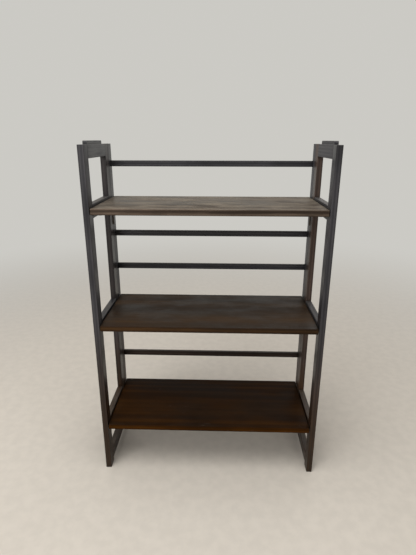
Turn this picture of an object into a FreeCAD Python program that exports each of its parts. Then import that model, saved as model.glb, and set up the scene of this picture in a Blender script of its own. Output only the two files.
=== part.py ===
import FreeCAD, Part
import math
import os

# Folding shelving unit, standing open. Millimetres, +Z up, front towards -Y.
# The origin is on the floor, under the middle of the unit's box.

# Overall sizes of the open unit
overall_width = 700.0
side_depth = 250.0
back_stile_depth = 36.0
lowest_shelf_top = 173.0
shelf_pitch = 356.0
top_guard = 170.0

# Frame stock, with the same thickness for stiles and rails
stock_thickness = 18.0
stile_width = 36.0
top_rail_height = 37.0
shelf_rail_height = 40.5
shelf_rail_lip = 8.0
bottom_rail_height = 36.0
bottom_rail_gap = 13.0
edge_ease = 1.2

# Stacking tab on each top rail, flush with the outer face
tab_rise = 10.0
tab_thickness = 12.0
tab_end_inset = 15.0
tab_corner_radius = 5.0

# Mortise and tenon joints between rails and stiles
tenon_thickness = 6.0
tenon_length = 22.0
tenon_shoulder = 7.0
tenon_fit = 0.1
mortise_spare_depth = 1.0

# Back slats, let into the back stiles with stub tenons
slat_height = 19.0
slat_depth = 12.0
slat_tenon_length = 11.0
slat_tenon_depth = 6.0
slat_tenon_shoulder = 3.0
low_slat_rise = 98.0
middle_low_slat_rise = 101.0
bottom_low_slat_rise = 109.0
high_slat_rise = 220.0

# Shelves
shelf_thickness = 18.0
shelf_end_gap = 2.5
shelf_front_inset = 1.0
shelf_rear_inset = 2.0
shelf_edge_radius = 2.0
upright_shelf_gap = 1.5

# Cleats under the shelf ends, set back so that the shelf's front edge hides them
cleat_width = 12.0
cleat_height = 14.0
cleat_front_inset = 80.0
cleat_rear_inset = 14.0

# Shelf pivot pins and their spacing washers
pivot_radius = 4.0
pivot_running_fit = 0.08
pivot_depth_in_shelf = 25.0
pivot_depth_in_stile = 12.0
pivot_bore_spare_depth = 0.6
washer_radius = 8.0
washer_side_gap = 0.3
washer_facets = 16

# Butt hinges between the side frames and the back frame
hinge_drop = 67.0
hinge_height = 45.0
hinge_leaf_width = 15.0
hinge_leaf_thickness = 1.5
hinge_knuckle_radius = 2.8
hinge_knuckle_count = 3
hinge_knuckle_gap = 0.3
hinge_axis_stand_off = 1.0
hinge_relief = 0.4
hinge_facets = 12
hinge_pin_radius = 1.3
hinge_pin_fit = 0.05
hinge_pin_head_radius = 2.2
hinge_pin_head_height = 1.4
hinge_screw_inset = 10.0
hinge_screw_reach_share = 0.6

# Countersunk wood screws for the hinges and the cleats
screw_head_radius = 2.9
screw_shank_radius = 1.3
screw_facets = 8
screw_slot_width = 0.7
screw_slot_depth = 0.5
hinge_screw_length = 13.0
cleat_screw_length = 24.0
cleat_screw_inset = 30.0
screw_fit = 0.05

# An edge runs along an axis where this share of its direction lies on it
along_axis_share = 0.99

# Places that follow from the sizes above
half_width = overall_width / 2
inner_face = half_width - stock_thickness
total_depth = side_depth + back_stile_depth
front = -total_depth / 2
back = total_depth / 2
side_back = front + side_depth
rear_stile_front = side_back - stile_width
front_stile_back = front + stile_width
cleat_front = front + cleat_front_inset
cleat_back = side_back - cleat_rear_inset
stile_height = lowest_shelf_top + 2 * shelf_pitch + top_guard
slat_front = back - slat_depth
pivot_y = slat_front - upright_shelf_gap - shelf_thickness / 2
shelf_front = front + shelf_front_inset
shelf_back = back - shelf_rear_inset
shelf_half_length = inner_face - shelf_end_gap
hinge_axis_x = inner_face - hinge_axis_stand_off
overrun = stock_thickness

shelf_tops = {
    "bottom": lowest_shelf_top,
    "middle": lowest_shelf_top + shelf_pitch,
    "top": lowest_shelf_top + 2 * shelf_pitch,
}

# Slat undersides, from the top of the unit to the bottom
slat_bottoms = [
    shelf_tops["top"] + low_slat_rise,
    shelf_tops["middle"] + high_slat_rise,
    shelf_tops["middle"] + middle_low_slat_rise,
    shelf_tops["bottom"] + high_slat_rise,
    shelf_tops["bottom"] + bottom_low_slat_rise,
]

sides = {"left": -1, "right": 1}
up = FreeCAD.Vector(0, 0, 1)


def block(low, high):
    """A plain block between two corners."""
    size = [b - a for a, b in zip(low, high)]
    return Part.makeBox(size[0], size[1], size[2], FreeCAD.Vector(*low))


def cylinder(radius, length, start, direction):
    return Part.makeCylinder(radius, length, FreeCAD.Vector(*start), FreeCAD.Vector(*direction))


def polygon(apothem, facets, centre, axis):
    """Corners of a regular outline round an axis, its flats at the apothem, the first one repeated."""
    radius = apothem / math.cos(math.pi / facets)
    corners = []
    for index in range(facets + 1):
        angle = math.pi * (2 * index + 1) / facets
        across, over = radius * math.cos(angle), radius * math.sin(angle)
        offset = (0, across, over) if axis == "X" else (across, over, 0)
        corners.append(FreeCAD.Vector(*centre) + FreeCAD.Vector(*offset))
    return corners


def taper(start_apothem, end_apothem, facets, length, start, axis):
    """A faceted solid along one axis, straight or tapered, with flat sides."""
    step = (length, 0, 0) if axis == "X" else (0, 0, length)
    end = [a + b for a, b in zip(start, step)]
    near = polygon(start_apothem, facets, start, axis)
    far = polygon(end_apothem, facets, end, axis)
    outlines = [near, far]
    for index in range(facets):
        outlines.append([near[index], near[index + 1], far[index + 1], far[index], near[index]])
    shell = Part.Shell([Part.Face(Part.makePolygon(outline)) for outline in outlines])
    solid = Part.Solid(shell)
    if solid.Volume < 0:
        solid.reverse()
    return solid


def prism(apothem, facets, length, start, axis):
    return taper(apothem, apothem, facets, length, start, axis)


def edges_along(shape, direction):
    return [edge for edge in shape.Edges
            if abs(edge.tangentAt(edge.FirstParameter).dot(direction)) > along_axis_share]


def eased(shape, direction):
    """Take a small chamfer off the edges that run along one axis."""
    return shape.makeChamfer(edge_ease, edges_along(shape, direction))


def mirrored(shape, side):
    """The right-hand shape as it is, or its mirror image for the left side."""
    if side > 0:
        return shape
    return shape.mirror(FreeCAD.Vector(0, 0, 0), FreeCAD.Vector(1, 0, 0))


def save(name, shape):
    shape.exportStep("parts/" + name + ".step")


def tenon(y_start, y_end, bottom, top, spare):
    """The tongue of a rail, centred in the stock, grown by spare for its mortise."""
    middle = inner_face + stock_thickness / 2
    half = tenon_thickness / 2 + spare
    low = (middle - half, y_start, bottom + tenon_shoulder - spare)
    high = (middle + half, y_end, top - tenon_shoulder + spare)
    return block(low, high)


def rail_levels():
    """Bottom and top of each rail of one side frame."""
    levels = {"bottom_rail": (bottom_rail_gap, bottom_rail_gap + bottom_rail_height)}
    for level, shelf_top in shelf_tops.items():
        rail_top = shelf_top + shelf_rail_lip
        levels[level + "_shelf_rail"] = (rail_top - shelf_rail_height, rail_top)
    levels["top_rail"] = (stile_height - top_rail_height, stile_height)
    return levels


def rail(bottom, top):
    """A rail between the stiles with a tenon at each end."""
    low = (inner_face, front_stile_back, bottom)
    high = (half_width, rear_stile_front, top)
    bar = eased(block(low, high), FreeCAD.Vector(0, 1, 0))
    tongue = tenon(front_stile_back - tenon_length, rear_stile_front + tenon_length,
                   bottom, top, 0)
    return bar.fuse(tongue).removeSplitter()


def stacking_tab():
    """The raised tongue on the top rail, round at its upper corners."""
    y_start = front_stile_back + tab_end_inset
    y_end = rear_stile_front - tab_end_inset
    low = (half_width - tab_thickness, y_start, stile_height - top_rail_height / 2)
    high = (half_width, y_end, stile_height + tab_rise)
    tab = block(low, high)
    corners = [edge for edge in tab.Edges
               if edge.BoundBox.ZMin > stile_height and edge.BoundBox.YLength < edge_ease]
    return tab.makeFillet(tab_corner_radius, corners)


def stile_blank(y_start, y_end):
    """An upright with eased long edges and an eased top."""
    blank = block((inner_face, y_start, 0), (half_width, y_end, stile_height))
    blank = eased(blank, up)
    ends = [edge for edge in blank.Edges if edge.BoundBox.ZMin > stile_height - edge_ease]
    return blank.makeChamfer(edge_ease / 2, ends)


def hinge_levels():
    """Bottom of each hinge, one under each shelf."""
    return [top - hinge_drop - hinge_height / 2 for top in shelf_tops.values()]


def hinge_leaf_blank(bottom, towards_back):
    """One let-in leaf on the inner face, reaching from the joint line."""
    if towards_back:
        y_start, y_end = side_back, side_back + hinge_leaf_width
    else:
        y_start, y_end = side_back - hinge_leaf_width, side_back
    low = (inner_face, y_start, bottom)
    high = (inner_face + hinge_leaf_thickness, y_end, bottom + hinge_height)
    return block(low, high)


def hinge_screw_places(bottom, towards_back):
    """Screw heads on a leaf, two to a leaf."""
    step = hinge_leaf_width * hinge_screw_reach_share
    y = side_back + step if towards_back else side_back - step
    return [(inner_face, y, bottom + hinge_screw_inset),
            (inner_face, y, bottom + hinge_height - hinge_screw_inset)]


def screw_form(place, length, spare):
    """Head taper and shank of a screw along +X, grown by spare for its hole."""
    head = taper(screw_head_radius + spare, screw_shank_radius + spare, screw_facets,
                 hinge_leaf_thickness, place, "X")
    shank = prism(screw_shank_radius + spare, screw_facets, length + spare, place, "X")
    return head.fuse(shank).removeSplitter()


def screw(place, length):
    """A countersunk screw driven outwards, with a straight slot."""
    x, y, z = place
    half_slot = screw_slot_width / 2
    slot = block((x - overrun, y - screw_head_radius, z - half_slot),
                 (x + screw_slot_depth, y + screw_head_radius, z + half_slot))
    return screw_form(place, length, 0).cut(slot)


def screw_hole(place, length):
    """The countersunk hole for a screw."""
    return screw_form(place, length, screw_fit)


def hinge_recesses(towards_back):
    """What the hinges need cut from a stile: leaf beds, knuckle relief and screw holes."""
    cuts = []
    for bottom in hinge_levels():
        cuts.append(hinge_leaf_blank(bottom, towards_back))
        cuts.append(prism(hinge_knuckle_radius + hinge_relief, hinge_facets,
                          hinge_height + 2 * hinge_pin_head_height,
                          (hinge_axis_x, side_back, bottom - hinge_pin_head_height), "Z"))
        for place in hinge_screw_places(bottom, towards_back):
            cuts.append(screw_hole(place, hinge_screw_length))
    return cuts


def cleat_screw_places(shelf_top):
    """Screws through a cleat into its rail."""
    z = shelf_top - shelf_thickness - cleat_height / 2
    x = inner_face - cleat_width
    ends = (cleat_front + cleat_screw_inset, cleat_back - cleat_screw_inset)
    return [(x, y, z) for y in ends]


def front_stile():
    stile = stile_blank(front, front_stile_back)
    depth = tenon_length + mortise_spare_depth
    for bottom, top in rail_levels().values():
        stile = stile.cut(tenon(front_stile_back - depth, front_stile_back + overrun,
                                bottom, top, tenon_fit))
    return stile


def rear_stile():
    stile = stile_blank(rear_stile_front, side_back)
    depth = tenon_length + mortise_spare_depth
    for bottom, top in rail_levels().values():
        stile = stile.cut(tenon(rear_stile_front - overrun, rear_stile_front + depth,
                                bottom, top, tenon_fit))
    for recess in hinge_recesses(False):
        stile = stile.cut(recess)
    return stile


def slat_tongue(bottom, length, spare):
    """The stub tenon at the right-hand end of a slat, grown by spare for its mortise."""
    middle = slat_front + slat_depth / 2
    half = slat_tenon_depth / 2 + spare
    low = (inner_face - overrun, middle - half, bottom + slat_tenon_shoulder - spare)
    high = (inner_face + length, middle + half, bottom + slat_height - slat_tenon_shoulder + spare)
    return block(low, high)


def back_stile():
    stile = stile_blank(side_back, back)
    for bottom in slat_bottoms:
        stile = stile.cut(slat_tongue(bottom, slat_tenon_length + mortise_spare_depth, tenon_fit))
    for shelf_top in shelf_tops.values():
        bore_depth = pivot_depth_in_stile + pivot_bore_spare_depth
        stile = stile.cut(cylinder(pivot_radius + pivot_running_fit, bore_depth + overrun,
                                   (inner_face - overrun, pivot_y, pivot_height(shelf_top)),
                                   (1, 0, 0)))
    for recess in hinge_recesses(True):
        stile = stile.cut(recess)
    return stile


def pivot_height(shelf_top):
    return shelf_top - shelf_thickness / 2


def slat(bottom):
    """A back slat with a stub tenon at both ends."""
    low = (-inner_face, slat_front, bottom)
    high = (inner_face, back, bottom + slat_height)
    bar = eased(block(low, high), FreeCAD.Vector(1, 0, 0))
    tongue = slat_tongue(bottom, slat_tenon_length, 0)
    return bar.fuse([tongue, mirrored(tongue, -1)]).removeSplitter()


def cleat(shelf_top):
    """A support strip under the shelf end, screwed to the rail."""
    top = shelf_top - shelf_thickness
    low = (inner_face - cleat_width, cleat_front, top - cleat_height)
    high = (inner_face, cleat_back, top)
    strip = eased(block(low, high), FreeCAD.Vector(0, 1, 0))
    for place in cleat_screw_places(shelf_top):
        strip = strip.cut(screw_hole(place, cleat_screw_length))
    return strip


def shelf(shelf_top):
    """A shelf board with rounded long edges and blind holes for its pivot pins."""
    low = (-shelf_half_length, shelf_front, shelf_top - shelf_thickness)
    high = (shelf_half_length, shelf_back, shelf_top)
    board = block(low, high)
    board = board.makeFillet(shelf_edge_radius, edges_along(board, FreeCAD.Vector(1, 0, 0)))
    for side in sides.values():
        board = board.cut(pivot_hole(shelf_top, side))
    return board


def pivot_hole(shelf_top, side):
    start = shelf_half_length - pivot_depth_in_shelf
    hole = cylinder(pivot_radius, pivot_depth_in_shelf + overrun,
                    (start, pivot_y, pivot_height(shelf_top)), (1, 0, 0))
    return mirrored(hole, side)


def pivot_pin(shelf_top):
    """A plain pin from inside the shelf end to near the bottom of its bore."""
    start = shelf_half_length - pivot_depth_in_shelf
    length = inner_face + pivot_depth_in_stile - start
    return cylinder(pivot_radius, length, (start, pivot_y, pivot_height(shelf_top)), (1, 0, 0))


def pivot_washer(shelf_top):
    """The spacer on the pin between the shelf end and the back stile."""
    start = shelf_half_length
    thickness = shelf_end_gap - washer_side_gap
    place = (start, pivot_y, pivot_height(shelf_top))
    ring = prism(washer_radius, washer_facets, thickness, place, "X")
    hole = prism(pivot_radius + pivot_running_fit, washer_facets, thickness, place, "X")
    return ring.cut(hole)


def knuckle_spans(bottom):
    """Bottom and top of each knuckle, in order up the hinge."""
    step = hinge_height / hinge_knuckle_count
    half_gap = hinge_knuckle_gap / 2
    return [(bottom + step * index + half_gap, bottom + step * (index + 1) - half_gap)
            for index in range(hinge_knuckle_count)]


def hinge_leaf(bottom, towards_back):
    """A leaf with its share of the knuckles, countersunk for its screws."""
    leaf = hinge_leaf_blank(bottom, towards_back)
    own_first = 1 if towards_back else 0
    clear_radius = hinge_knuckle_radius + hinge_relief
    knuckles = []
    for index, (low, high) in enumerate(knuckle_spans(bottom)):
        place = (hinge_axis_x, side_back, low)
        if index % 2 == own_first:
            knuckles.append(prism(hinge_knuckle_radius, hinge_facets, high - low, place, "Z"))
        else:
            place = (hinge_axis_x, side_back, low - hinge_knuckle_gap)
            height = high - low + 2 * hinge_knuckle_gap
            leaf = leaf.cut(prism(clear_radius, hinge_facets, height, place, "Z"))
    leaf = leaf.fuse(knuckles).removeSplitter()
    leaf = leaf.cut(prism(hinge_pin_radius + hinge_pin_fit, hinge_facets,
                          hinge_height + 2 * overrun,
                          (hinge_axis_x, side_back, bottom - overrun), "Z"))
    for place in hinge_screw_places(bottom, towards_back):
        leaf = leaf.cut(screw_hole(place, hinge_screw_length))
    return leaf


def hinge_pin(bottom):
    """The hinge pin with a low button head at each end."""
    top = bottom + hinge_height
    shaft = prism(hinge_pin_radius, hinge_facets, hinge_height,
                  (hinge_axis_x, side_back, bottom), "Z")
    lower_head = taper(hinge_pin_radius, hinge_pin_head_radius, hinge_facets,
                       hinge_pin_head_height,
                       (hinge_axis_x, side_back, bottom - hinge_pin_head_height), "Z")
    upper_head = taper(hinge_pin_head_radius, hinge_pin_radius, hinge_facets,
                       hinge_pin_head_height, (hinge_axis_x, side_back, top), "Z")
    return shaft.fuse([lower_head, upper_head]).removeSplitter()


def frame_pieces(side_name, side):
    """Every piece of one side frame, with the back stile beside it."""
    save(side_name + "_front_stile", mirrored(front_stile(), side))
    save(side_name + "_rear_stile", mirrored(rear_stile(), side))
    save(side_name + "_back_stile", mirrored(back_stile(), side))
    for name, (bottom, top) in rail_levels().items():
        piece = rail(bottom, top)
        if name == "top_rail":
            piece = piece.fuse(stacking_tab()).removeSplitter()
        for shelf_top in shelf_tops.values():
            if bottom < shelf_top < top:
                for place in cleat_screw_places(shelf_top):
                    piece = piece.cut(screw_hole(place, cleat_screw_length))
        save(side_name + "_" + name, mirrored(piece, side))
    for level, shelf_top in shelf_tops.items():
        save(side_name + "_" + level + "_cleat", mirrored(cleat(shelf_top), side))


def group(shapes):
    return Part.makeCompound(shapes)


def hinge_pieces(side_name, side):
    """The leaves, pins and screws of one side's hinges, each kind as a group."""
    levels = hinge_levels()
    side_leaves = [mirrored(hinge_leaf(bottom, False), side) for bottom in levels]
    back_leaves = [mirrored(hinge_leaf(bottom, True), side) for bottom in levels]
    pins = [mirrored(hinge_pin(bottom), side) for bottom in levels]
    screws = []
    for bottom in levels:
        for towards_back in (False, True):
            for place in hinge_screw_places(bottom, towards_back):
                screws.append(mirrored(screw(place, hinge_screw_length), side))
    save(side_name + "_side_hinge_leaves", group(side_leaves))
    save(side_name + "_back_hinge_leaves", group(back_leaves))
    save(side_name + "_hinge_pins", group(pins))
    save(side_name + "_hinge_screws", group(screws))


def shelf_pieces(level, shelf_top):
    """A shelf board with its pivot pins and washers, and the screws of its cleats."""
    save(level + "_shelf", shelf(shelf_top))
    pins = [mirrored(pivot_pin(shelf_top), side) for side in sides.values()]
    save(level + "_shelf_pivot_pins", group(pins))
    washers = [mirrored(pivot_washer(shelf_top), side) for side in sides.values()]
    save(level + "_shelf_washers", group(washers))
    screws = []
    for side in sides.values():
        for place in cleat_screw_places(shelf_top):
            screws.append(mirrored(screw(place, cleat_screw_length), side))
    save(level + "_cleat_screws", group(screws))


os.makedirs("parts", exist_ok=True)
for side_name, side in sides.items():
    frame_pieces(side_name, side)
    hinge_pieces(side_name, side)
for number, bottom in enumerate(slat_bottoms, start=1):
    save("back_slat_" + str(number), slat(bottom))
for level, shelf_top in shelf_tops.items():
    shelf_pieces(level, shelf_top)
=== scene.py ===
import math
from collections import namedtuple
from types import SimpleNamespace

import bpy
from mathutils import Matrix, Vector


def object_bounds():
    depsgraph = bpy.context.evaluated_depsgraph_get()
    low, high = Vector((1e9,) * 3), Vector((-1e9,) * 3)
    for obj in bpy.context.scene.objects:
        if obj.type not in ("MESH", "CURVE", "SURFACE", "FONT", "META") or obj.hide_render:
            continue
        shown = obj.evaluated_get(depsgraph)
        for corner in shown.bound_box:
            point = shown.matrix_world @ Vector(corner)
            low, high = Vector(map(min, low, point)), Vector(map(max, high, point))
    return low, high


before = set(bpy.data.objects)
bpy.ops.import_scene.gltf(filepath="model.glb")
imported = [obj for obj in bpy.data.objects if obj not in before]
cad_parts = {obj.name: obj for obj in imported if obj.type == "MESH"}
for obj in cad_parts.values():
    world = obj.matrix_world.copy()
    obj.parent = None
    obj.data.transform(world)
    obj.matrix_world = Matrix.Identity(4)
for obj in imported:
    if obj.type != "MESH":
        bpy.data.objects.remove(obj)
cad_low, cad_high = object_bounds()

bl_info = {
    "name": "Folding Shelving Unit Finish",
    "version": (1, 0, 0),
    "blender": (4, 5, 0),
    "location": "View3D > Sidebar > Shelving",
    "description": "Stained wood, bronze hinges, a pale stage and a camera for a folding shelving unit",
    "category": "Object",
}

MILLIMETRE = 0.001
SIDES = ("left", "right")
LEVELS = ("bottom", "middle", "top")
SLAT_COUNT = sum(name.startswith("back_slat_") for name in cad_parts)

# The axes along and across a board whose grain follows X, Y or Z
GRAIN_AXES = {"X": (0, 1, 2), "Y": (1, 0, 2), "Z": (2, 0, 1)}
# Where the boards are cut from the wood, in metres along and across its grain: the first place,
# the step from board to board, and the span in which the steps start over
BOARD_PLACES = ((0.0, 0.731, 3.0), (0.03, 0.0173, 0.05), (0.02, 0.0271, 0.06))
# What can differ from board to board
BOARD_TRAITS = ("gloss", "streakiness", "dust", "fading", "richness", "yellowing", "haze")

# How far each field is drawn out along the grain
BOARD_STRETCH = (0.10, 1.0, 1.0)
FIBRE_STRETCH = (0.03, 1.0, 1.0)
PATCH_STRETCH = (0.45, 1.0, 1.0)

# Noise with its scale in features to the metre, and the values between which it begins to show
Noise = namedtuple("Noise", "scale detail roughness low high", defaults=(0.5, 0.0, 1.0))
FIBRES = Noise(scale=420.0, detail=6.0, roughness=0.7)
STREAKS = Noise(scale=60.0, detail=4.0, roughness=0.6)
PATCHES = Noise(scale=9.0, detail=3.0, roughness=0.55)
PORES = Noise(scale=1100.0, detail=2.0, low=0.60, high=0.70)
RUBBED_SPOTS = Noise(scale=34.0, detail=4.0, roughness=0.65, low=0.38, high=0.66)
SCUFFED_SPOTS = Noise(scale=11.0, detail=3.0, low=0.56, high=0.68)
SCUFF_LINES = Noise(scale=330.0, detail=3.0, low=0.64, high=0.72)
DUST_CLOUDS = Noise(scale=21.0, detail=6.0, roughness=0.68, low=0.34, high=0.68)
METAL_PATCHES = Noise(scale=160.0, detail=4.0, roughness=0.6, low=0.46, high=0.70)
METAL_SCRATCHES = Noise(scale=2600.0, detail=2.0)
FLOOR_SPECKLES = Noise(scale=30.0, detail=5.0, low=0.3, high=0.7)

RING_SETTINGS = {"wave_type": "RINGS", "rings_direction": "X", "wave_profile": "SIN"}
RING_SOCKETS = {"Distortion": 3.0, "Detail": 3.0, "Detail Scale": 0.6, "Detail Roughness": 0.55}

# Shares of rings, fibres and streaks in the tone, and the tones of the three stain colours
RING_SHARE, FIBRE_SHARE, STREAK_SHARE = 0.22, 0.38, 0.40
DEEP_TONE, MAIN_TONE, PALE_TONE = 0.25, 0.50, 0.75
PORE_DARKNESS = 0.55
# Share of the floor light's height below which the painted warm light from the floor is strongest
FULLEST_LIGHT_SHARE = 0.2
PATCH_SPAN = (0.35, 0.66)
PATCH_BRIGHTNESS = (0.72, 1.32)

# How far the masks reach, and the values between which they grow from 0 to 1
MASK_SAMPLES = 6
WOOD_EDGE_REACH = 1.6 * MILLIMETRE
WOOD_EDGE_SPAN = (0.02, 0.22)
# The joint mask is ambient occlusion, used for painted shade with grime
JOINT_REACH = 14 * MILLIMETRE
JOINT_SPAN = (0.95, 0.45)
UPWARD_SPAN = (0.7, 0.95)
SIDEWAYS_SPAN = (0.5, 0.1)

# What fibres, patches, dust and scuffs add to the roughness of the lacquer
FIBRE_SPAN = (0.30, 0.75)
FIBRE_ROUGHNESS = (-0.06, 0.10)
PATCH_ROUGHNESS_SPAN = (0.36, 0.64)
PATCH_ROUGHNESS = (-0.09, 0.12)
DUST_ROUGHNESS = 0.22
SCUFF_ROUGHNESS = 0.15

# Heights in the relief of the wood
FIBRE_RELIEF, PORE_RELIEF, PATCH_RELIEF = 0.6, -0.5, 0.8
WOOD_BUMP = {"Strength": 0.35, "Distance": 0.4 * MILLIMETRE}
LACQUER = {"IOR": 1.5, "Coat Roughness": 0.26, "Sheen Roughness": 0.45}

# Wear of the metal
METAL_ROUGHNESS = {
    "cleat_screw_steel": 0.25,
    "pivot_steel": 0.22,
    "hinge_bronze": 0.30,
    "hinge_screw_bronze": 0.36,
}
METAL_EDGE_REACH = 0.5 * MILLIMETRE
METAL_EDGE_SPAN = (0.05, 0.30)
METAL_PATCH_WEAR = 0.5
SCRATCH_STRETCH = (1.0, 1.0, 0.15)
SCRATCH_ROUGHNESS = 0.25
METAL_BUMP = {"Strength": 0.25, "Distance": 0.05 * MILLIMETRE}

# The floor's mesh and finish
FLOOR_RINGS = 12
FLOOR_SPOKES = 64
FLOOR_SPECKLE_BRIGHTNESS = (0.97, 1.03)
FLOOR_LOOK = {"Roughness": 0.85, "Specular IOR Level": 0.2}
# Metres from the middle at which the floor begins to fade, and is gone
FLOOR_FADE = (0.7, 3.6)
ROOM_LIGHT_COLOUR = (1.0, 0.985, 0.96)
# Each lamp's name, place, width, and the setting that holds its power
LAMPS = (
    ("ceiling_lamp", (-0.3, -0.7, 2.8), 2.4, "ceiling_power"),
    ("front_lamp", (-1.9, -2.7, 1.9), 2.2, "front_power"),
    ("rear_lamp", (1.9, 2.7, 2.3), 2.6, "rear_power"),
)

# The camera's numbers come from lines fitted in the 416 by 555 picture
PICTURE_HEIGHT = 555
FOCAL_PIXELS = 417
SENSOR_LONG_SIDE = 36.0

# The colour sockets of a Mix node share their names, so they are found by number
MIX_AMOUNT, MIX_FIRST, MIX_SECOND, MIX_RESULT = 0, 6, 7, 2


def set_sockets(made, sockets):
    """Link or set each named input of a node."""
    for key, value in sockets.items():
        if isinstance(value, bpy.types.NodeSocket):
            made.id_data.links.new(value, made.inputs[key])
        else:
            made.inputs[key].default_value = value


def add_node(tree, kind, settings=None, sockets=None):
    made = tree.nodes.new(kind)
    for name, value in (settings or {}).items():
        setattr(made, name, value)
    set_sockets(made, sockets or {})
    return made


def calculate(tree, operation, first, second, clamp=False):
    """One step of arithmetic on two values."""
    made = add_node(tree, "ShaderNodeMath", {"operation": operation, "use_clamp": clamp},
                    {0: first, 1: second})
    return made.outputs[0]


def add_share(tree, total, part, share, clamp=False):
    """A total plus a share of another value."""
    return calculate(tree, "ADD", total, calculate(tree, "MULTIPLY", part, share), clamp)


def vector_step(tree, operation, first, second):
    made = add_node(tree, "ShaderNodeVectorMath", {"operation": operation}, {0: first, 1: second})
    return made.outputs["Value" if operation == "DOT_PRODUCT" else "Vector"]


def band(tree, value, low, high, low_to=0.0, high_to=1.0):
    """Stretch the part of a value between low and high to a new span, smooth at both ends."""
    made = add_node(tree, "ShaderNodeMapRange", {"interpolation_type": "SMOOTHSTEP"},
                    {"Value": value, "From Min": low, "From Max": high,
                     "To Min": low_to, "To Max": high_to})
    return made.outputs["Result"]


def noise(tree, vector, field):
    made = add_node(tree, "ShaderNodeTexNoise", {},
                    {"Vector": vector, "Scale": field.scale, "Detail": field.detail,
                     "Roughness": field.roughness})
    return made.outputs["Fac"]


def spots(tree, vector, field, low_to=0.0, high_to=1.0):
    """Noise with only the part between its low and its high value left."""
    return band(tree, noise(tree, vector, field), field.low, field.high, low_to, high_to)


def opaque(colour):
    return (*colour[:3], 1.0)


def blend(tree, amount, first, second):
    """Mix two colours."""
    made = add_node(tree, "ShaderNodeMix", {"data_type": "RGBA", "clamp_factor": True},
                    {MIX_AMOUNT: amount, MIX_FIRST: first, MIX_SECOND: second})
    return made.outputs[MIX_RESULT]


def lay_over(tree, colour, mask, share, new_colour):
    """Cover the masked part with a share of another colour."""
    return blend(tree, calculate(tree, "MULTIPLY", mask, share), colour, opaque(new_colour))


def brightened(tree, colour, factor, richness=1.0, yellowing=0.0):
    made = add_node(tree, "ShaderNodeHueSaturation", {},
                    {"Hue": 0.5 + yellowing, "Value": factor, "Saturation": richness, "Color": colour})
    return made.outputs["Color"]


def colour_steps(tree, value, steps):
    """A colour ramp through (position, colour) steps."""
    ramp = add_node(tree, "ShaderNodeValToRGB", {}, {"Fac": value})
    stops = ramp.color_ramp.elements
    for index, (place, colour) in enumerate(steps):
        stop = stops[index] if index < len(stops) else stops.new(place)
        stop.position = place
        stop.color = opaque(colour)
    return ramp.outputs["Color"]


def new_material(name):
    """An empty material with a principled shader wired to its output."""
    material = bpy.data.materials.new(name)
    material.use_nodes = True
    tree = material.node_tree
    tree.nodes.clear()
    shader = add_node(tree, "ShaderNodeBsdfPrincipled")
    add_node(tree, "ShaderNodeOutputMaterial", {}, {"Surface": shader.outputs["BSDF"]})
    return material, tree, shader


def upward_part(tree, output):
    """The Z value of an object's coordinates or of its normal."""
    source = add_node(tree, "ShaderNodeTexCoord").outputs[output]
    return add_node(tree, "ShaderNodeSeparateXYZ", {}, {0: source}).outputs[2]


def grain_coordinates(tree, grain, offset):
    """Object coordinates with the grain first, moved so that each board has its own figure."""
    source = add_node(tree, "ShaderNodeTexCoord").outputs["Object"]
    split = add_node(tree, "ShaderNodeSeparateXYZ", {}, {0: source})
    joined = add_node(tree, "ShaderNodeCombineXYZ", {},
                      {place: split.outputs[axis] for place, axis in enumerate(GRAIN_AXES[grain])})
    return vector_step(tree, "ADD", joined.outputs[0], offset)


def corner_mask(tree, reach):
    """Near 1 beside a sharp edge and 0 on flat faces."""
    rounded = add_node(tree, "ShaderNodeBevel", {"samples": MASK_SAMPLES}, {"Radius": reach})
    flat = add_node(tree, "ShaderNodeNewGeometry").outputs["Normal"]
    likeness = vector_step(tree, "DOT_PRODUCT", rounded.outputs[0], flat)
    return calculate(tree, "SUBTRACT", 1.0, likeness)


def joint_mask(tree):
    """Near 1 where two pieces meet and 0 on open wood: ambient occlusion, which places painted shade
    and grime.
    """
    open_share = add_node(tree, "ShaderNodeAmbientOcclusion", {"samples": MASK_SAMPLES},
                          {"Distance": JOINT_REACH})
    return band(tree, open_share.outputs["AO"], *JOINT_SPAN)


def upward_mask(tree):
    """1 on faces that look up."""
    return band(tree, upward_part(tree, "Normal"), *UPWARD_SPAN)


def sideways_mask(tree):
    """1 on faces that look sideways, 0 on faces that look up or down."""
    height = upward_part(tree, "Normal")
    return band(tree, calculate(tree, "MULTIPLY", height, height), *SIDEWAYS_SPAN)


def floor_light_mask(tree, height):
    """1 near the floor and 0 from a height up: where painted warm light from the floor shows."""
    return band(tree, upward_part(tree, "Object"), height, FULLEST_LIGHT_SHARE * height)


def frame_board(finish, **own):
    """The frame's traits, or the board's own where it has any."""
    shared = {trait: getattr(finish, trait) for trait in BOARD_TRAITS}
    return {**shared, "thinness": 0.0, **own}


def shelf_board(finish, level):
    """The traits of the shelf at a level."""
    index = LEVELS.index(level)
    return {trait: getattr(finish, trait)[index] for trait in (*BOARD_TRAITS, "edge_fading")}


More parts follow.
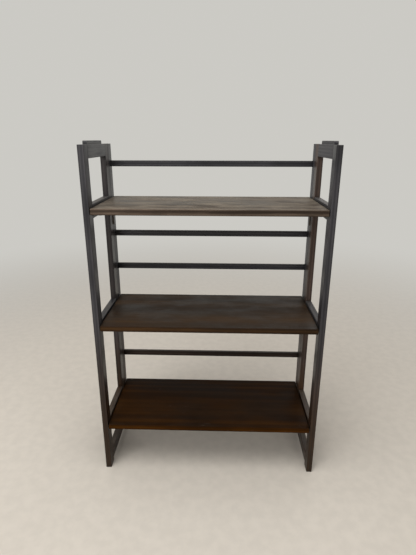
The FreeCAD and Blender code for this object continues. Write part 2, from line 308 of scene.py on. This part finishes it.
def wood_figure(tree, grain, offset, figure_scale):
    """The fields that a board's grain and wear are made from."""
    place = grain_coordinates(tree, grain, offset)
    along_board = vector_step(tree, "MULTIPLY", place, BOARD_STRETCH)
    along_fibres = vector_step(tree, "MULTIPLY", place, FIBRE_STRETCH)
    cloudy = vector_step(tree, "MULTIPLY", place, PATCH_STRETCH)
    rings = add_node(tree, "ShaderNodeTexWave", RING_SETTINGS,
                     {"Vector": along_board, "Scale": figure_scale, **RING_SOCKETS})
    return SimpleNamespace(
        rings=rings.outputs["Fac"],
        fibres=noise(tree, along_fibres, FIBRES),
        streaks=noise(tree, along_fibres, STREAKS),
        pores=spots(tree, along_fibres, PORES),
        patches=noise(tree, cloudy, PATCHES),
        rubbed=calculate(tree, "MULTIPLY",
                         band(tree, corner_mask(tree, WOOD_EDGE_REACH), *WOOD_EDGE_SPAN),
                         spots(tree, place, RUBBED_SPOTS)),
        scuffed=calculate(tree, "MULTIPLY", spots(tree, place, SCUFFED_SPOTS),
                          spots(tree, along_board, SCUFF_LINES)),
        dusty=calculate(tree, "MULTIPLY", upward_mask(tree), spots(tree, cloudy, DUST_CLOUDS)))


def stain_colour(tree, figure, finish, board):
    """The stain over rings, fibres, streaks and pores, browner near the floor on the frame with painted
    warm light from the floor.
    """
    tone = calculate(tree, "MULTIPLY", figure.rings, RING_SHARE)
    tone = add_share(tree, tone, figure.fibres, FIBRE_SHARE)
    tone = add_share(tree, tone, figure.streaks, STREAK_SHARE)
    half = board["streakiness"] / 2
    tone = band(tree, tone, 0.0, 1.0, MAIN_TONE - half, MAIN_TONE + half)
    colour = colour_steps(tree, tone, [
        (DEEP_TONE, finish.deep_stain), (MAIN_TONE, finish.stain), (PALE_TONE, finish.pale_streak)])
    colour = lay_over(tree, colour, figure.pores, PORE_DARKNESS, finish.deep_stain)
    if "thinness" in board:
        # Painted light: browner colours near the floor stand in for warm light bounced up from it; the
        # rear stiles also get them as their own painted light
        thin = calculate(tree, "MULTIPLY", floor_light_mask(tree, finish.floor_light_height), finish.floor_light_share)
        thin = calculate(tree, "MAXIMUM", thin, board["thinness"])
        colour = blend(tree, thin, colour, colour_steps(tree, tone, [
            (DEEP_TONE, finish.floor_lit_deep_stain), (PALE_TONE, finish.floor_lit_stain)]))
    return colour


def patchy_and_lit(tree, colour, figure, board):
    """The colour in paler and darker cloudy patches, scaled by the board's painted light and shade, and
    lighter on a shelf's edges with painted light.
    """
    darkest, palest = PATCH_BRIGHTNESS
    paleness = band(tree, figure.patches, *PATCH_SPAN,
                    darkest * board["fading"], palest * board["fading"])
    # Painted light: a shelf's faces that look sideways are lighter than its top
    if "edge_fading" in board:
        edges = band(tree, sideways_mask(tree), 0.0, 1.0, 1.0, board["edge_fading"])
        paleness = calculate(tree, "MULTIPLY", paleness, edges)
    return brightened(tree, colour, paleness, board["richness"], board["yellowing"])


def lacquer_roughness(tree, figure, roughness):
    """Uneven lacquer, more matt under dust and in scuffs."""
    smoothest, roughest = FIBRE_ROUGHNESS
    fibrous = band(tree, figure.fibres, *FIBRE_SPAN, roughness + smoothest, roughness + roughest)
    patchy = band(tree, figure.patches, *PATCH_ROUGHNESS_SPAN, *PATCH_ROUGHNESS)
    total = calculate(tree, "ADD", fibrous, patchy)
    total = add_share(tree, total, figure.dusty, DUST_ROUGHNESS)
    return add_share(tree, total, figure.scuffed, SCUFF_ROUGHNESS, clamp=True)


def wood_relief(tree, figure):
    """The normal of a surface with raised fibres, open pores and slight unevenness."""
    relief = calculate(tree, "MULTIPLY", figure.fibres, FIBRE_RELIEF)
    relief = add_share(tree, relief, figure.pores, PORE_RELIEF)
    relief = add_share(tree, relief, figure.patches, PATCH_RELIEF)
    return add_node(tree, "ShaderNodeBump", {}, {**WOOD_BUMP, "Height": relief}).outputs[0]


def stained_wood(name, grain, offset, finish, board):
    """Dark stained hardwood: grain, rubbed edges, paler patches, painted light and shade, scuffs, dust,
    and grime with painted shade along the joints.
    """
    material, tree, shader = new_material(name)
    figure = wood_figure(tree, grain, offset, finish.figure_scale)
    colour = stain_colour(tree, figure, finish, board)
    colour = lay_over(tree, colour, figure.rubbed, finish.edge_wear, finish.rubbed_edge)
    colour = patchy_and_lit(tree, colour, figure, board)
    colour = lay_over(tree, colour, figure.scuffed, finish.scuffs, finish.scuffed_stain)
    colour = lay_over(tree, colour, figure.dusty, board["dust"], finish.dust_colour)
    # Painted shade with grime: darker where ambient occlusion finds pieces close together
    shade_and_grime = calculate(tree, "MULTIPLY", joint_mask(tree), finish.joint_shade_and_grime)
    colour = brightened(tree, colour, calculate(tree, "SUBTRACT", 1.0, shade_and_grime))
    set_sockets(shader, {
        "Base Color": colour, "Roughness": lacquer_roughness(tree, figure, finish.roughness),
        "Normal": wood_relief(tree, figure), "Specular IOR Level": board["gloss"],
        "Coat Weight": finish.polish, "Sheen Weight": board["haze"],
        "Sheen Tint": opaque(finish.haze_colour), **LACQUER})
    return material


def worn_metal(name, colour, worn_colour):
    """Metal with a darkened finish that is worn in patches and at its edges, and fine scratches."""
    material, tree, shader = new_material(name)
    place = add_node(tree, "ShaderNodeTexCoord").outputs["Object"]
    corners = band(tree, corner_mask(tree, METAL_EDGE_REACH), *METAL_EDGE_SPAN)
    patches = calculate(tree, "MULTIPLY", spots(tree, place, METAL_PATCHES), METAL_PATCH_WEAR)
    worn = calculate(tree, "MAXIMUM", patches, corners)
    scratches = noise(tree, vector_step(tree, "MULTIPLY", place, SCRATCH_STRETCH), METAL_SCRATCHES)
    bump = add_node(tree, "ShaderNodeBump", {}, {**METAL_BUMP, "Height": scratches})
    set_sockets(shader, {
        "Base Color": blend(tree, worn, opaque(colour), opaque(worn_colour)), "Metallic": 1.0,
        "Roughness": add_share(tree, METAL_ROUGHNESS[name], scratches, SCRATCH_ROUGHNESS),
        "Normal": bump.outputs[0]})
    return material


def board_offset(name):
    """A place in the wood for each board, the same on every run."""
    number = sorted(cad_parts).index(name)
    return tuple(start + number * step % span for start, step, span in BOARD_PLACES)


def dress(name, material):
    """Give a carried-over node its finish."""
    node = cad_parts[name]
    if not node.material_slots:
        node.data.materials.append(material)
    for slot in node.material_slots:
        slot.material = material


def dress_wood(names, grain, finish, board):
    """Give each board a stain of its own."""
    for name in names:
        dress(name, stained_wood("wood_" + name, grain, board_offset(name), finish, board))


class WoodWear:
    """Wear and dust that both kinds of board share, and painted shade with grime along the joints"""
    scuffed_stain: bpy.props.FloatVectorProperty(
        name="Scuffed stain", description="Colour of scratches in the lacquer", subtype="COLOR",
        default=(0.13, 0.105, 0.09), min=0.0, max=1.0)
    dust_colour: bpy.props.FloatVectorProperty(
        name="Dust colour", description="Colour of the dust on faces that look up", subtype="COLOR",
        default=(0.185, 0.156, 0.122), min=0.0, max=1.0)
    haze_colour: bpy.props.FloatVectorProperty(
        name="Haze colour", description="Colour of the fine dust that shows from a low angle",
        subtype="COLOR", default=(0.95, 0.86, 0.66), min=0.0, max=1.0)
    scuffs: bpy.props.FloatProperty(
        name="Scuffs", description="How plain the scratches are",
        default=0.45, min=0.0, max=1.0, subtype="FACTOR")
    # Painted shade with grime along the joints, placed by ambient occlusion
    joint_shade_and_grime: bpy.props.FloatProperty(
        name="Joint grime", description="How much darker the wood is along its joints",
        default=0.45, min=0.0, max=1.0, subtype="FACTOR")


class FrameWood(bpy.types.PropertyGroup, WoodWear):
    """Stain of the stiles, rails, slats and cleats"""
    stain: bpy.props.FloatVectorProperty(
        name="Stain", description="Main colour of the stained wood", subtype="COLOR",
        default=(0.0310, 0.0300, 0.0338), min=0.0, max=1.0)
    deep_stain: bpy.props.FloatVectorProperty(
        name="Deep stain", description="Colour between the streaks", subtype="COLOR",
        default=(0.0120, 0.0117, 0.0130), min=0.0, max=1.0)
    pale_streak: bpy.props.FloatVectorProperty(
        name="Pale streak", description="Colour of the lightest grain", subtype="COLOR",
        default=(0.064, 0.060, 0.063), min=0.0, max=1.0)
    rubbed_edge: bpy.props.FloatVectorProperty(
        name="Rubbed edge", description="Colour where the stain has rubbed through", subtype="COLOR",
        default=(0.070, 0.044, 0.029), min=0.0, max=1.0)
    edge_wear: bpy.props.FloatProperty(
        name="Edge wear", description="How far the edges are rubbed",
        default=0.75, min=0.0, max=1.0, subtype="FACTOR")
    # Painted warm light from the floor: the frame's colours near the floor, and how high they reach
    floor_lit_stain: bpy.props.FloatVectorProperty(
        name="Low stain", description="Colour near the floor, where the stain is thin", subtype="COLOR",
        default=(0.044, 0.0205, 0.0075), min=0.0, max=1.0)
    floor_lit_deep_stain: bpy.props.FloatVectorProperty(
        name="Low deep stain", description="Colour between the streaks where the stain is thin",
        subtype="COLOR", default=(0.011, 0.0052, 0.0022), min=0.0, max=1.0)
    floor_light_height: bpy.props.FloatProperty(
        name="Low height", description="Height up to which the stain is thinner",
        default=0.60, min=0.01, unit="LENGTH")
    floor_light_share: bpy.props.FloatProperty(
        name="Low share", description="How thin the stain is near the floor",
        default=1.0, min=0.0, max=1.0, subtype="FACTOR")
    # Painted light on the rear stiles, strongest on the right one, which the light reaches from the
    # left; in part paler worn stain
    rear_thinness: bpy.props.FloatVectorProperty(
        name="Rear thinness", description="How thin the stain is on the left and right rear stile",
        size=2, default=(0.30, 0.65), min=0.0, max=1.0)
    rear_fading: bpy.props.FloatVectorProperty(
        name="Rear fading", description="How pale light has made the left and right rear stile",
        size=2, default=(1.15, 1.80), min=0.1, max=4.0)
    streakiness: bpy.props.FloatProperty(
        name="Streakiness", description="How plainly the grain shows through the stain",
        default=0.6, min=0.1, max=3.0)
    figure_scale: bpy.props.FloatProperty(
        name="Figure scale", description="How closely the growth rings lie",
        default=34.0, min=1.0, max=200.0)
    # Painted light and shade: one brightness for the whole frame's colour
    fading: bpy.props.FloatProperty(
        name="Fading", description="How pale light has made the frame",
        default=1.0, min=0.1, max=4.0)
    richness: bpy.props.FloatProperty(
        name="Richness", description="How much brown is left in the frame",
        default=1.0, min=0.0, max=2.0)
    yellowing: bpy.props.FloatProperty(
        name="Yellowing", description="How far the brown has turned to yellow",
        default=0.0, min=0.0, max=0.1)
    dust: bpy.props.FloatProperty(
        name="Dust", description="How much dust lies on faces that look up",
        default=0.32, min=0.0, max=1.0, subtype="FACTOR")
    haze: bpy.props.FloatProperty(
        name="Haze", description="How much fine dust lies on the frame",
        default=0.0, min=0.0, max=1.0, subtype="FACTOR")
    gloss: bpy.props.FloatProperty(
        name="Gloss", description="How strongly the stained wood shines",
        default=0.22, min=0.0, max=1.0, subtype="FACTOR")
    polish: bpy.props.FloatProperty(
        name="Polish", description="Thickness of the old polish over the stain",
        default=0.08, min=0.0, max=1.0, subtype="FACTOR")
    roughness: bpy.props.FloatProperty(
        name="Roughness", description="Roughness of the lacquer",
        default=0.42, min=0.1, max=1.0, subtype="FACTOR")


class ShelfWood(bpy.types.PropertyGroup, WoodWear):
    """Stain of the shelf boards; values for three shelves go from the bottom one up"""
    stain: bpy.props.FloatVectorProperty(
        name="Stain", description="Main colour of the stained wood", subtype="COLOR",
        default=(0.0285, 0.0130, 0.0058), min=0.0, max=1.0)
    deep_stain: bpy.props.FloatVectorProperty(
        name="Deep stain", description="Colour between the streaks", subtype="COLOR",
        default=(0.011, 0.0044, 0.0018), min=0.0, max=1.0)
    pale_streak: bpy.props.FloatVectorProperty(
        name="Pale streak", description="Colour of the lightest grain", subtype="COLOR",
        default=(0.072, 0.036, 0.017), min=0.0, max=1.0)
    rubbed_edge: bpy.props.FloatVectorProperty(
        name="Rubbed edge", description="Colour where the stain has rubbed through", subtype="COLOR",
        default=(0.125, 0.058, 0.024), min=0.0, max=1.0)
    edge_wear: bpy.props.FloatProperty(
        name="Edge wear", description="How far the edges are rubbed",
        default=0.35, min=0.0, max=1.0, subtype="FACTOR")
    streakiness: bpy.props.FloatVectorProperty(
        name="Streakiness", description="How plainly the grain shows on each shelf, from the bottom up",
        size=3, default=(0.42, 0.60, 0.80), min=0.1, max=3.0)
    figure_scale: bpy.props.FloatProperty(
        name="Figure scale", description="How closely the growth rings lie",
        default=22.0, min=1.0, max=200.0)
    # Painted light and shade: the top shelf lighter, in part a painted reflection, and the lower
    # shelves darker where the shelves above shade them
    fading: bpy.props.FloatVectorProperty(
        name="Fading", description="How pale light has made each shelf, from the bottom up",
        size=3, default=(0.62, 0.74, 1.62), min=0.1, max=4.0)
    # Painted light: each shelf's front, back and end faces lighter than its top, most on the lower
    # shelves
    edge_fading: bpy.props.FloatVectorProperty(
        name="Edge fading", description="How much paler each shelf's edges are, from the bottom up",
        size=3, default=(1.80, 1.35, 1.10), min=0.1, max=4.0)
    richness: bpy.props.FloatVectorProperty(
        name="Richness", description="How much brown is left in each shelf, from the bottom up",
        size=3, default=(1.26, 1.12, 0.60), min=0.0, max=2.0)
    yellowing: bpy.props.FloatVectorProperty(
        name="Yellowing", description="How far each shelf's brown has yellowed, from the bottom up",
        size=3, default=(0.0, 0.008, 0.014), min=0.0, max=0.1)
    dust: bpy.props.FloatVectorProperty(
        name="Dust", description="How much dust lies on each shelf, from the bottom up",
        size=3, default=(0.03, 0.05, 0.80), min=0.0, max=1.0)
    haze: bpy.props.FloatVectorProperty(
        name="Haze", description="How much fine dust lies on each shelf, from the bottom up",
        size=3, default=(0.0, 0.02, 0.04), min=0.0, max=1.0)
    gloss: bpy.props.FloatVectorProperty(
        name="Gloss", description="How strongly each shelf shines, from the bottom up",
        size=3, default=(0.035, 0.12, 0.06), min=0.0, max=1.0)
    polish: bpy.props.FloatProperty(
        name="Polish", description="Thickness of the old polish over the stain",
        default=0.02, min=0.0, max=1.0, subtype="FACTOR")
    roughness: bpy.props.FloatProperty(
        name="Roughness", description="Roughness of the lacquer",
        default=0.40, min=0.1, max=1.0, subtype="FACTOR")


class MetalFinish(bpy.types.PropertyGroup):
    """Colours of the hinges, pins and screws"""
    bronze: bpy.props.FloatVectorProperty(
        name="Bronze", description="Dark bronze finish of the hinges", subtype="COLOR",
        default=(0.072, 0.062, 0.054), min=0.0, max=1.0)
    worn_bronze: bpy.props.FloatVectorProperty(
        name="Worn bronze", description="Bronze where it is rubbed bright", subtype="COLOR",
        default=(0.17, 0.13, 0.095), min=0.0, max=1.0)
    steel: bpy.props.FloatVectorProperty(
        name="Steel", description="Plain steel of pins and screws", subtype="COLOR",
        default=(0.24, 0.235, 0.23), min=0.0, max=1.0)
    bright_steel: bpy.props.FloatVectorProperty(
        name="Bright steel", description="Steel where it is rubbed bright", subtype="COLOR",
        default=(0.46, 0.46, 0.47), min=0.0, max=1.0)


class StageSettings(bpy.types.PropertyGroup):
    """Floor, background and lamps"""
    floor_colour: bpy.props.FloatVectorProperty(
        name="Floor", description="Plain pale floor", subtype="COLOR",
        default=(0.66, 0.605, 0.53), min=0.0, max=1.0)
    background: bpy.props.FloatVectorProperty(
        name="Background", description="Pale background", subtype="COLOR",
        default=(0.60, 0.59, 0.555), min=0.0, max=1.0)
    floor_radius: bpy.props.FloatProperty(
        name="Floor radius", description="Radius of the floor",
        default=9.0, min=2.0, unit="LENGTH")
    sky_strength: bpy.props.FloatProperty(
        name="Room light", description="Strength of the even light of the room",
        default=0.37, min=0.0)
    ceiling_power: bpy.props.FloatProperty(
        name="Ceiling light", description="Power of the wide lamp overhead",
        default=48.0, min=0.0, unit="POWER")
    front_power: bpy.props.FloatProperty(
        name="Front light", description="Power of the wide lamp in front",
        default=42.0, min=0.0, unit="POWER")
    rear_power: bpy.props.FloatProperty(
        name="Rear light", description="Power of the wide lamp behind",
        default=13.0, min=0.0, unit="POWER")


class CameraSettings(bpy.types.PropertyGroup):
    """Where the picture is taken from"""
    place: bpy.props.FloatVectorProperty(
        name="Place", description="Camera position", subtype="TRANSLATION", unit="LENGTH",
        default=(0.0331, -1.2868, 1.0686))
    tilt: bpy.props.FloatProperty(
        name="Tilt", description="Angle below the horizon", subtype="ANGLE",
        default=math.radians(18.34))
    turn: bpy.props.FloatProperty(
        name="Turn", description="Turn to the left", subtype="ANGLE",
        default=math.radians(1.75))
    roll: bpy.props.FloatProperty(
        name="Roll", description="Roll about the view", subtype="ANGLE",
        default=math.radians(-0.08))


class ShelvingSettings(bpy.types.PropertyGroup):
    """Everything that a user would change"""
    frame_wood: bpy.props.PointerProperty(type=FrameWood)
    shelf_wood: bpy.props.PointerProperty(type=ShelfWood)
    metal: bpy.props.PointerProperty(type=MetalFinish)
    stage: bpy.props.PointerProperty(type=StageSettings)
    camera: bpy.props.PointerProperty(type=CameraSettings)


class SHELVING_OT_side_frames(bpy.types.Operator):
    """Stain the stiles and rails of both side frames"""
    bl_idname = "shelving.side_frames"
    bl_label = "Finish Side Frames"

    def execute(self, context):
        finish = context.scene.shelving.frame_wood
        board = frame_board(finish)
        rails = ["_top_rail", "_bottom_rail"] + ["_" + level + "_shelf_rail" for level in LEVELS]
        # Each rear stile gets its own painted light
        for side, thinness, fading in zip(SIDES, finish.rear_thinness, finish.rear_fading):
            rear = frame_board(finish, thinness=thinness, fading=fading)
            dress_wood([side + "_rear_stile"], "Z", finish, rear)
            dress_wood([side + "_front_stile"], "Z", finish, board)
            dress_wood([side + rail for rail in rails], "Y", finish, board)
        return {"FINISHED"}


class SHELVING_OT_back_frame(bpy.types.Operator):
    """Stain the back stiles and the slats between them"""
    bl_idname = "shelving.back_frame"
    bl_label = "Finish Back Frame"

    def execute(self, context):
        finish = context.scene.shelving.frame_wood
        board = frame_board(finish)
        slats = ["back_slat_" + str(number + 1) for number in range(SLAT_COUNT)]
        dress_wood([side + "_back_stile" for side in SIDES], "Z", finish, board)
        dress_wood(slats, "X", finish, board)
        return {"FINISHED"}


class SHELVING_OT_cleats(bpy.types.Operator):
    """Stain the cleats and finish their screws"""
    bl_idname = "shelving.cleats"
    bl_label = "Finish Cleats"

    def execute(self, context):
        finish = context.scene.shelving.frame_wood
        colours = context.scene.shelving.metal
        cleats = [side + "_" + level + "_cleat" for side in SIDES for level in LEVELS]
        dress_wood(cleats, "Y", finish, frame_board(finish))
        metal = worn_metal("cleat_screw_steel", colours.steel, colours.bright_steel)
        for level in LEVELS:
            dress(level + "_cleat_screws", metal)
        return {"FINISHED"}


class SHELVING_OT_shelves(bpy.types.Operator):
    """Stain the three shelf boards"""
    bl_idname = "shelving.shelves"
    bl_label = "Finish Shelves"

    def execute(self, context):
        finish = context.scene.shelving.shelf_wood
        for level in LEVELS:
            dress_wood([level + "_shelf"], "X", finish, shelf_board(finish, level))
        return {"FINISHED"}


class SHELVING_OT_pivots(bpy.types.Operator):
    """Finish the pivot pins and washers of the shelves"""
    bl_idname = "shelving.pivots"
    bl_label = "Finish Pivots"

    def execute(self, context):
        colours = context.scene.shelving.metal
        metal = worn_metal("pivot_steel", colours.steel, colours.bright_steel)
        for level in LEVELS:
            dress(level + "_shelf_pivot_pins", metal)
            dress(level + "_shelf_washers", metal)
        return {"FINISHED"}


class SHELVING_OT_hinges(bpy.types.Operator):
    """Finish the hinges between the side frames and the back frame"""
    bl_idname = "shelving.hinges"
    bl_label = "Finish Hinges"

    def execute(self, context):
        colours = context.scene.shelving.metal
        leaves = worn_metal("hinge_bronze", colours.bronze, colours.worn_bronze)
        screws = worn_metal("hinge_screw_bronze", colours.bronze, colours.worn_bronze)
        for side in SIDES:
            for part in ("_side_hinge_leaves", "_back_hinge_leaves", "_hinge_pins"):
                dress(side + part, leaves)
            dress(side + "_hinge_screws", screws)
        return {"FINISHED"}


def floor_mesh(radius):
    """A flat disc in rings, finer towards the middle."""
    turns = [2 * math.pi * spoke / FLOOR_SPOKES for spoke in range(FLOOR_SPOKES)]
    points = [(0.0, 0.0, 0.0)]
    for ring in range(1, FLOOR_RINGS + 1):
        reach = radius * (ring / FLOOR_RINGS) ** 2
        points += [(reach * math.cos(turn), reach * math.sin(turn), 0.0) for turn in turns]
    faces = [(0, 1 + spoke, 1 + (spoke + 1) % FLOOR_SPOKES) for spoke in range(FLOOR_SPOKES)]
    for ring in range(FLOOR_RINGS - 1):
        inner, outer = 1 + ring * FLOOR_SPOKES, 1 + (ring + 1) * FLOOR_SPOKES
        for spoke in range(FLOOR_SPOKES):
            following = (spoke + 1) % FLOOR_SPOKES
            faces.append((inner + spoke, outer + spoke, outer + following, inner + following))
    mesh = bpy.data.meshes.new("floor")
    mesh.from_pydata(points, [], faces)
    return mesh


def seen_rays(tree):
    """1 for what the camera, a reflection or a clear body shows, 0 for what lights the unit."""
    rays = add_node(tree, "ShaderNodeLightPath").outputs
    seen = calculate(tree, "MAXIMUM", rays["Is Camera Ray"], rays["Is Glossy Ray"])
    return calculate(tree, "MAXIMUM", seen, rays["Is Transmission Ray"])


def floor_material(stage):
    """Pale matt floor that fades into the background far from the unit."""
    material, tree, shader = new_material("pale_floor")
    place = add_node(tree, "ShaderNodeTexCoord").outputs["Object"]
    speckle = spots(tree, place, FLOOR_SPECKLES, *FLOOR_SPECKLE_BRIGHTNESS)
    colour = brightened(tree, opaque(stage.floor_colour), speckle)
    set_sockets(shader, {"Base Color": colour, **FLOOR_LOOK})
    length = add_node(tree, "ShaderNodeVectorMath", {"operation": "LENGTH"}, {0: place})
    far = band(tree, length.outputs["Value"], *FLOOR_FADE)
    fade = calculate(tree, "MULTIPLY", far, seen_rays(tree))
    glow = add_node(tree, "ShaderNodeEmission", {},
                    {"Color": opaque(stage.background), "Strength": 1.0})
    mixed = add_node(tree, "ShaderNodeMixShader", {},
                     {0: fade, 1: shader.outputs["BSDF"], 2: glow.outputs[0]})
    output = next(node for node in tree.nodes if node.type == "OUTPUT_MATERIAL")
    set_sockets(output, {"Surface": mixed.outputs[0]})
    return material


def room_world(stage):
    """Even light on the unit, with a pale background for the camera and for reflections."""
    world = bpy.data.worlds.new("room")
    world.use_nodes = True
    tree = world.node_tree
    tree.nodes.clear()
    light = add_node(tree, "ShaderNodeBackground", {},
                     {"Color": opaque(ROOM_LIGHT_COLOUR), "Strength": stage.sky_strength})
    backdrop = add_node(tree, "ShaderNodeBackground", {},
                        {"Color": opaque(stage.background), "Strength": 1.0})
    mixed = add_node(tree, "ShaderNodeMixShader", {},
                     {0: seen_rays(tree), 1: light.outputs[0], 2: backdrop.outputs[0]})
    add_node(tree, "ShaderNodeOutputWorld", {}, {"Surface": mixed.outputs[0]})
    return world


def add_lamp(name, place, target, width, power):
    """A wide round lamp that looks at a target."""
    data = bpy.data.lights.new(name, "AREA")
    data.shape = "DISK"
    data.size = width
    data.energy = power
    lamp = bpy.data.objects.new(name, data)
    lamp.location = place
    lamp.rotation_euler = (target - Vector(place)).to_track_quat("-Z", "Y").to_euler()
    bpy.context.scene.collection.objects.link(lamp)


class SHELVING_OT_stage(bpy.types.Operator):
    """Add the floor, the background and the lamps"""
    bl_idname = "shelving.stage"
    bl_label = "Add Stage"

    def execute(self, context):
        stage = context.scene.shelving.stage
        floor = bpy.data.objects.new("floor", floor_mesh(stage.floor_radius))
        floor.data.materials.append(floor_material(stage))
        context.scene.collection.objects.link(floor)
        context.scene.world = room_world(stage)
        middle = (cad_low + cad_high) / 2
        for name, place, width, power in LAMPS:
            add_lamp(name, place, middle, width, getattr(stage, power))
        context.scene.view_settings.view_transform = "Standard"
        return {"FINISHED"}


class SHELVING_OT_camera(bpy.types.Operator):
    """Add the camera at the picture's viewpoint"""
    bl_idname = "shelving.camera"
    bl_label = "Add Camera"

    def execute(self, context):
        settings = context.scene.shelving.camera
        data = bpy.data.cameras.new("camera")
        data.sensor_width = SENSOR_LONG_SIDE
        data.lens = FOCAL_PIXELS / PICTURE_HEIGHT * SENSOR_LONG_SIDE
        camera = bpy.data.objects.new("camera", data)
        upright = Matrix.Rotation(math.radians(90), 4, "X")
        aim = Matrix.Rotation(settings.turn, 4, "Z") @ Matrix.Rotation(-settings.tilt, 4, "X")
        aim = aim @ Matrix.Rotation(settings.roll, 4, "Y")
        camera.matrix_world = Matrix.Translation(settings.place) @ aim @ upright
        context.scene.collection.objects.link(camera)
        context.scene.camera = camera
        return {"FINISHED"}


BUILD_ORDER = (
    SHELVING_OT_side_frames,
    SHELVING_OT_back_frame,
    SHELVING_OT_cleats,
    SHELVING_OT_shelves,
    SHELVING_OT_pivots,
    SHELVING_OT_hinges,
    SHELVING_OT_stage,
    SHELVING_OT_camera,
)


class SHELVING_PT_panel(bpy.types.Panel):
    """Lists the steps of the finish in the sidebar"""
    bl_label = "Folding Shelving Unit"
    bl_idname = "SHELVING_PT_panel"
    bl_space_type = "VIEW_3D"
    bl_region_type = "UI"
    bl_category = "Shelving"

    def draw(self, context):
        for step in BUILD_ORDER:
            self.layout.operator(step.bl_idname)
        settings = context.scene.shelving
        for group in (settings.frame_wood, settings.shelf_wood, settings.metal, settings.stage,
                      settings.camera):
            box = self.layout.box()
            for name in group.bl_rna.properties.keys():
                if name not in ("rna_type", "name"):
                    box.prop(group, name)


CLASSES = (FrameWood, ShelfWood, MetalFinish, StageSettings, CameraSettings, ShelvingSettings,
           *BUILD_ORDER, SHELVING_PT_panel)


def register():
    for made in CLASSES:
        bpy.utils.register_class(made)
    bpy.types.Scene.shelving = bpy.props.PointerProperty(type=ShelvingSettings)


def unregister():
    del bpy.types.Scene.shelving
    for made in reversed(CLASSES):
        bpy.utils.unregister_class(made)


def main():
    register()
    bpy.ops.shelving.side_frames()
    bpy.ops.shelving.back_frame()
    bpy.ops.shelving.cleats()
    bpy.ops.shelving.shelves()
    bpy.ops.shelving.pivots()
    bpy.ops.shelving.hinges()
    bpy.ops.shelving.stage()
    bpy.ops.shelving.camera()


if __name__ == "__main__":
    main()
